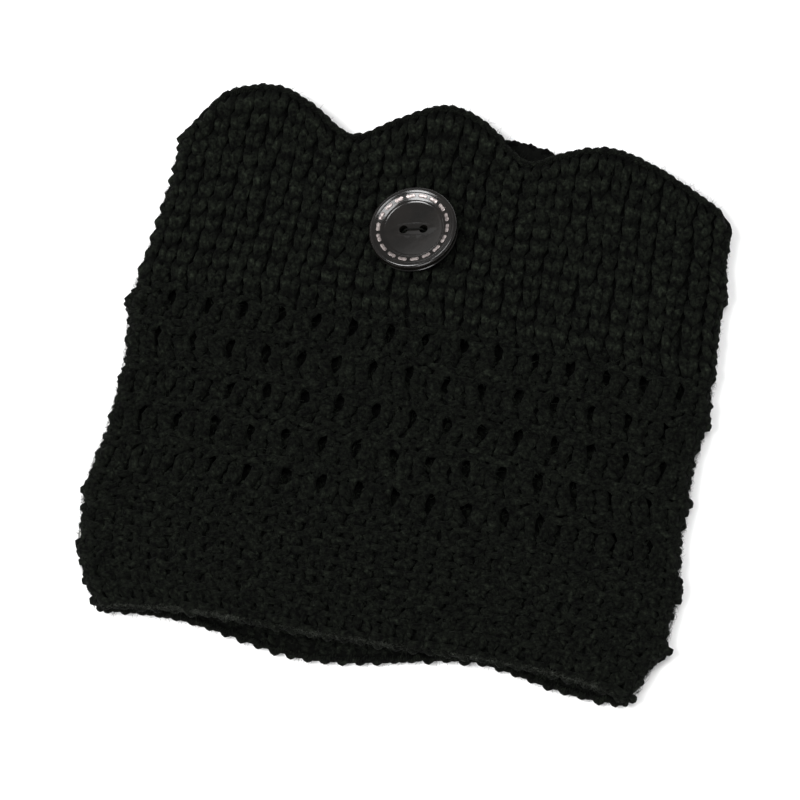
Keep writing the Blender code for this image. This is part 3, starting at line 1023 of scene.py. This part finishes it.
def turned_blank():
    """A closed round blank with the button's outline, in millimetres."""
    model = bmesh.new()
    points = [model.verts.new((radius, 0, height)) for radius, height in smooth_outline(BUTTON_OUTLINE)]
    edges = [model.edges.new(pair) for pair in zip(points, points[1:])]
    bmesh.ops.spin(
        model, geom=points + edges, axis=(0, 0, 1), cent=(0, 0, 0),
        angle=math.tau, steps=BUTTON_STEPS, use_merge=True,
    )
    bmesh.ops.remove_doubles(model, verts=model.verts, dist=BUTTON_MERGE)
    bmesh.ops.recalc_face_normals(model, faces=model.faces)
    return model


print("the button is turned from", len(smooth_outline(BUTTON_OUTLINE)), "points in", BUTTON_STEPS, "steps")

# %% Drill the button
HOLE_WIDTH = 2.5
HOLE_SPACING = 5.7
HOLES_TURN = math.radians(8.0)
DRILL_LENGTH = 12
EYE_LENGTH = 9.6
EYE_WIDTH = 3.6
EYE_DEPTH = 0.13
EYE_ROUND = 0.5
DISH_HEIGHT = BUTTON_OUTLINE[-1][1]
SHARP_ANGLE = math.radians(35)


def seat_matrix():
    """Takes a model of the button, in millimetres about its own middle, to its place on the garment."""
    tilt = Vector((0, 0, 1)).rotation_difference(button_facing).to_matrix().to_4x4()
    turn = Matrix.Rotation(HOLES_TURN, 4, "Z")
    return Matrix.Translation(button_seat) @ tilt @ turn @ Matrix.Scale(MM, 4)


def cut_away(made, model):
    """Takes the form of a bmesh out of an object for good."""
    cutter = linked("cutter", mesh_of("cutter", model))
    cut = made.modifiers.new("cut", "BOOLEAN")
    cut.object = cutter
    cut.solver = "EXACT"
    graph = bpy.context.evaluated_depsgraph_get()
    carved = bpy.data.meshes.new_from_object(made.evaluated_get(graph))
    made.modifiers.clear()
    made.data = carved
    bpy.data.objects.remove(cutter, do_unlink=True)


def eye_cutter():
    """A flat egg that leaves an almond hollow in the dish."""
    eye = bmesh.new()
    reach = math.sqrt(1 - (1 - EYE_DEPTH / EYE_ROUND) ** 2)
    flat_egg = Matrix.Translation((0, 0, DISH_HEIGHT + EYE_ROUND - EYE_DEPTH)) @ Matrix.Diagonal(
        (EYE_LENGTH / 2 / reach, EYE_WIDTH / 2 / reach, EYE_ROUND, 1)
    )
    bmesh.ops.create_uvsphere(eye, u_segments=40, v_segments=48, radius=1, matrix=flat_egg)
    return eye


def hole_cutter(side):
    """A drill through the button, on one side of its middle."""
    hole = bmesh.new()
    there = Matrix.Translation((side * HOLE_SPACING / 2, 0, 0))
    bmesh.ops.create_cone(
        hole, cap_ends=True, segments=28, depth=DRILL_LENGTH,
        radius1=HOLE_WIDTH / 2, radius2=HOLE_WIDTH / 2, matrix=there,
    )
    return hole


def drilled_button(material):
    """The turned blank, with the almond hollow and the two holes cut out of it."""
    blank = linked("button_blank", mesh_of("button_blank", turned_blank()))
    cut_away(blank, eye_cutter())
    for side in (-1, 1):
        cut_away(blank, hole_cutter(side))
    mesh = blank.data
    bpy.data.objects.remove(blank, do_unlink=True)
    mesh.transform(seat_matrix())
    piece = finished("button_moulding", mesh, material)
    mesh.set_sharp_from_angle(angle=SHARP_ANGLE)
    return piece


# %% [markdown]
# ## Resin, metal and thread
#
# Moulded black resin is dark and very smooth, with a clear gloss and the faintest scratches. The dashes are
# a soft pinkish silver foil with a fine grain. The thread is plain black.

# %% Resin
RELIEF = 0.05 * MM


def resin():
    """Glossy black resin, a little cloudy, with faint scuffs in its gloss."""
    material, tree, shader = new_material("glossy_black_resin")
    cloudy = noise(tree, scale=160.0, detail=4.0)
    shade = ramp(tree, cloudy, (0.3, (0.003, 0.0028, 0.0024)), (0.75, (0.009, 0.0075, 0.0065)))
    tree.links.new(shade, shader.inputs["Base Color"])
    scuffs = noise(tree, scale=900.0, detail=5.0)
    gloss = add_node(tree, "ShaderNodeMapRange")
    set_inputs(gloss, {"To Min": 0.1, "To Max": 0.22})
    tree.links.new(scuffs, gloss.inputs["Value"])
    tree.links.new(gloss.outputs["Result"], shader.inputs["Roughness"])
    roughen(tree, shader, scuffs, strength=0.25, distance=RELIEF)
    return material


button = drilled_button(resin())
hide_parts("button")

# %% Foil
def foil():
    """Pinkish silver foil with a fine grain."""
    material, tree, shader = new_material("pinkish_silver_foil")
    grain = noise(tree, scale=1400.0, detail=3.0)
    shade = ramp(tree, grain, (0.35, (0.17, 0.145, 0.14)), (0.65, (0.42, 0.37, 0.355)))
    tree.links.new(shade, shader.inputs["Base Color"])
    roughen(tree, shader, grain, strength=0.4, distance=RELIEF)
    set_inputs(shader, {"Metallic": 0.6, "Roughness": 0.38})
    return material


silver = foil()
print("the dashes are of", silver.name)

# %% [markdown]
# ## The ring of dashes
#
# Eighteen short metal bars are set into the ring, each pinched a little at its middle. One bar is a small
# grid bent to the ring, given thickness and softened edges. The others are made alike, further round.

# %% Dashes
DASHES = 18
DASH_PHASE = 0.85
DASH_RADIUS = 9.95
DASH_LENGTH = 2.5
DASH_WIDTH = 1.08
DASH_PINCH = 0.22
PINCH_REACH = 0.12
DASH_SQUARE = 0.55
DASH_THICKNESS = 0.24
DASH_BASE = 2.64
CREST_LEVEL = DASH_BASE + 0.12
CREST_ANGLE = 1.0
CREST_SOFTEN = 0.07
RING_SLOPE = 0.31


def one_dash(model, turn):
    """A bar of the ring, at a turn round the button."""
    made = bmesh.ops.create_grid(model, x_segments=8, y_segments=2, size=0.5)["verts"]
    for corner in made:
        along, over = corner.co.x, corner.co.y
        pinch = 1 - DASH_PINCH * math.exp(-(along / PINCH_REACH) ** 2)
        rounding = math.sqrt(max(0.0, 1 - (2 * abs(along)) ** 6))
        width = DASH_WIDTH * pinch * (DASH_SQUARE + (1 - DASH_SQUARE) * rounding)
        radius = DASH_RADIUS + over * width
        angle = turn + along * DASH_LENGTH / DASH_RADIUS
        height = DASH_BASE + (radius - DASH_RADIUS) * RING_SLOPE
        corner.co = (radius * math.cos(angle), radius * math.sin(angle), height)
    faces = list({face for corner in made for face in corner.link_faces})
    bmesh.ops.recalc_face_normals(model, faces=faces)
    raised = bmesh.ops.extrude_face_region(model, geom=faces)
    tops = [item for item in raised["geom"] if isinstance(item, bmesh.types.BMVert)]
    bmesh.ops.translate(model, verts=tops, vec=(0, 0, DASH_THICKNESS))


def ring_of_dashes(material):
    """All the bars in one mesh, with the edges round their tops softened."""
    model = bmesh.new()
    for k in range(DASHES):
        one_dash(model, math.tau * (k + DASH_PHASE) / DASHES)
    bmesh.ops.recalc_face_normals(model, faces=model.faces)
    crest = []
    for edge in model.edges:
        high = min(corner.co.z for corner in edge.verts) > CREST_LEVEL
        if high and len(edge.link_faces) == 2 and edge.calc_face_angle() > CREST_ANGLE:
            crest.append(edge)
    bmesh.ops.bevel(
        model, geom=crest, offset=CREST_SOFTEN, offset_type="OFFSET", segments=2, profile=0.5,
        affect="EDGES", material=-1,
    )
    mesh = mesh_of("button_dashes", model)
    mesh.transform(seat_matrix())
    return finished("button_dashes", mesh, material)


dashes = ring_of_dashes(silver)
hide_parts("button")

# %% [markdown]
# ## Sewn on
#
# Two turns of thin black thread come up one hole, lie in the almond hollow, where they hardly show, and go
# down the other into the knitting. They are thin tubes on short curves. Under the button they are its shank.

# %% Thread
THREAD_RADIUS = 0.11 * MM
THREAD_TURNS = (-0.13, 0.12)
THREAD_DOWN = 2.6
THREAD_LIES = DISH_HEIGHT - EYE_DEPTH + 0.1
THREAD_ARCH = 0.2
THREAD_STEEP = 1.7
THREAD_BEND = 0.82
THREAD_SPLAY = 0.25
THREAD_GATHER = 0.35
THREAD_POINTS = 25


def thread_turn(offset):
    """One turn of thread, in the button's own millimetres: up a hole, across, and down the other."""
    reach = HOLE_SPACING / 2 + THREAD_SPLAY * offset
    parts = np.linspace(-1, 1, THREAD_POINTS)
    across = np.clip(parts * THREAD_STEEP, -1, 1) * reach
    sink = np.clip(np.abs(parts * THREAD_STEEP) - THREAD_BEND, 0, None) / (THREAD_STEEP - THREAD_BEND)
    arch = THREAD_ARCH * (1 - (across / reach) ** 2)
    height = THREAD_LIES + arch - sink * (THREAD_LIES + THREAD_DOWN)
    spread = offset * (1 - THREAD_GATHER * np.abs(across / reach))
    return np.column_stack([across, spread, height])


turns = []
for offset in THREAD_TURNS:
    points = [seat_matrix() @ Vector(point) for point in thread_turn(offset)]
    turns.append((np.array(points), 1.0))
wool_thread = wool("black_thread", (0.004, 0.004, 0.004), (0.010, 0.010, 0.009))
thread = tube_piece("button_thread", turns, THREAD_RADIUS, 6, wool_thread)
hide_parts("button")

# %% [markdown]
# ## Floor, light and camera
#
# The photograph is a cut-out on white, so the floor is a plain pale sheet and the world a soft white. A wide
# panel at the left is the window, whose light lies as a broad band on the button. A softer one hangs over
# the garment, a third stands towards the viewer, as a bright room would, and a dim one is beyond. The camera
# looks down steeply, turned a little, from a metre away.

# %% The floor
FLOOR_SIZE = 6.0
GARMENT_TURN = math.radians(11.35)


def floor():
    """A plain pale sheet that the garment lies on."""
    model = bmesh.new()
    bmesh.ops.create_grid(model, x_segments=1, y_segments=1, size=FLOOR_SIZE / 2)
    made = linked("floor", mesh_of("floor", model))
    material, _, shader = new_material("pale_floor")
    set_inputs(shader, {"Base Color": (0.93, 0.93, 0.93, 1), "Roughness": 0.9, "Specular IOR Level": 0.1})
    made.data.materials.append(material)


floor()
print("the floor is", FLOOR_SIZE, "metres wide")

# %% Light
PANEL_FAR = 2.4
WORLD_LIGHT = 0.3
Panel = namedtuple("Panel", "name towards rise size power")
PANELS = (
    Panel("window_panel", 190, 58, 1.1, 62.0),
    Panel("ceiling_panel", 60, 80, 0.9, 26.0),
    Panel("room_panel", 278, 36, 1.2, 22.0),
    Panel("wall_panel", 125, 34, 0.9, 1.6),
)


def soft_panel(panel):
    """A square lamp that looks at the garment. Its angles are in degrees, in the photograph's directions."""
    lamp = bpy.data.lights.new(panel.name, "AREA")
    lamp.shape = "SQUARE"
    lamp.size = panel.size
    lamp.energy = panel.power
    made = linked(panel.name, lamp)
    angle = math.radians(panel.towards) + GARMENT_TURN
    up = math.radians(panel.rise)
    away = Vector((math.cos(angle) * math.cos(up), math.sin(angle) * math.cos(up), math.sin(up)))
    made.location = away * PANEL_FAR
    made.rotation_mode = "QUATERNION"
    made.rotation_quaternion = away.to_track_quat("Z", "Y")
    print(panel.name, panel.power, "watts")


for panel in PANELS:
    soft_panel(panel)
world = bpy.data.worlds.new("soft_white")
world.use_nodes = True
set_inputs(world.node_tree.nodes["Background"], {"Color": (1, 1, 1, 1), "Strength": WORLD_LIGHT})
bpy.context.scene.world = world
bpy.context.scene.view_settings.view_transform = "Standard"

# %% Camera
CAMERA_RISE = math.radians(74.0)
CAMERA_FAR = 1.0
CAMERA_LENS = 160.7
TARGET_HEIGHT = 5 * MM
AIM_RIGHT = -3.64 * MM
AIM_UP = -4.48 * MM


def camera():
    """A long lens that looks steeply down at the garment."""
    right = Vector((math.cos(GARMENT_TURN), math.sin(GARMENT_TURN), 0))
    level = Vector((-math.sin(GARMENT_TURN), math.cos(GARMENT_TURN), 0))
    look = level * math.cos(CAMERA_RISE) - Vector((0, 0, math.sin(CAMERA_RISE)))
    upright = right.cross(look)
    lens = bpy.data.cameras.new("camera")
    lens.lens = CAMERA_LENS
    lens.sensor_width = 36.0
    lens.clip_start = 0.05
    lens.clip_end = 20.0
    made = linked("camera", lens)
    target = Vector((0, 0, TARGET_HEIGHT)) + right * AIM_RIGHT + upright * AIM_UP
    turned = Matrix((right, upright, -look)).transposed().to_4x4()
    made.matrix_world = Matrix.Translation(target - look * CAMERA_FAR) @ turned
    bpy.context.scene.camera = made
    return made


stand = camera().matrix_world.translation
print("the camera stands at", [round(value, 2) for value in stand])
